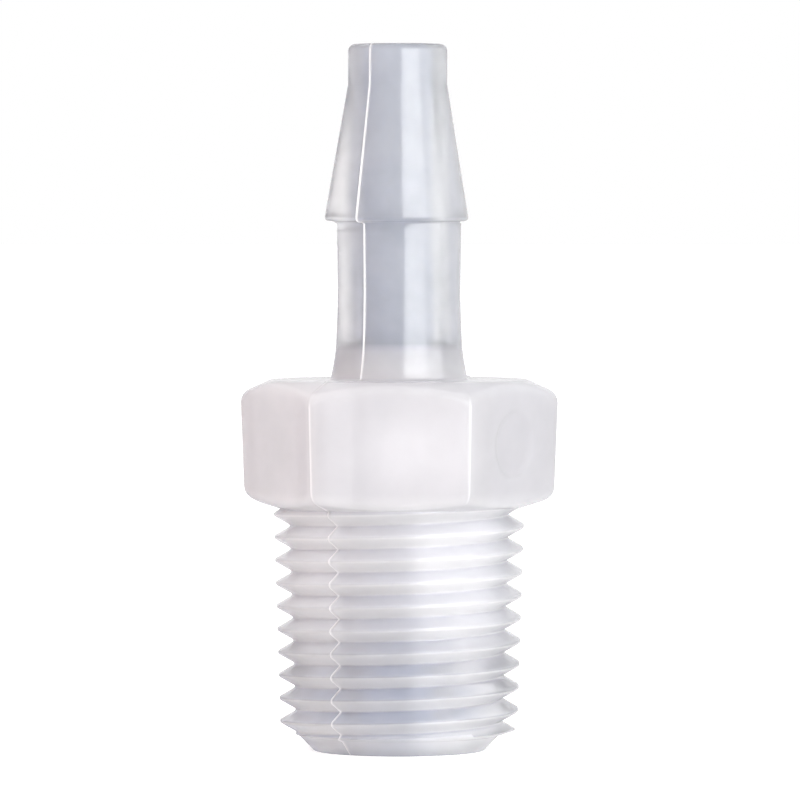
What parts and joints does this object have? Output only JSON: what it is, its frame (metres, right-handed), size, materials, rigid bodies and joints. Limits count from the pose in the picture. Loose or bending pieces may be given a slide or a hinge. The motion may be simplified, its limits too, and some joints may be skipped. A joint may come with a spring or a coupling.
{
  "type": "straight hose barb to male pipe thread connector",
  "caption": "Straight one-piece plastic connector: a hose barb on a smooth stem, a hexagon to turn it by, and a male taper pipe thread, with a bore right through.",
  "frame": {"origin": "centre of the flat end face of the thread, on which the part can stand", "axes": "+Z along the bore from the thread end face to the hose nose; +X through a corner of the hexagon; one flat of the hexagon faces -Y"},
  "size_m": [0.013, 0.0114, 0.0289],
  "materials": {
    "natural_polypropylene": "milky translucent moulded polypropylene with a soft satin gloss"
  },
  "bodies": {
    "root": {"connector_body": "natural_polypropylene"}
  },
  "joints": []
}
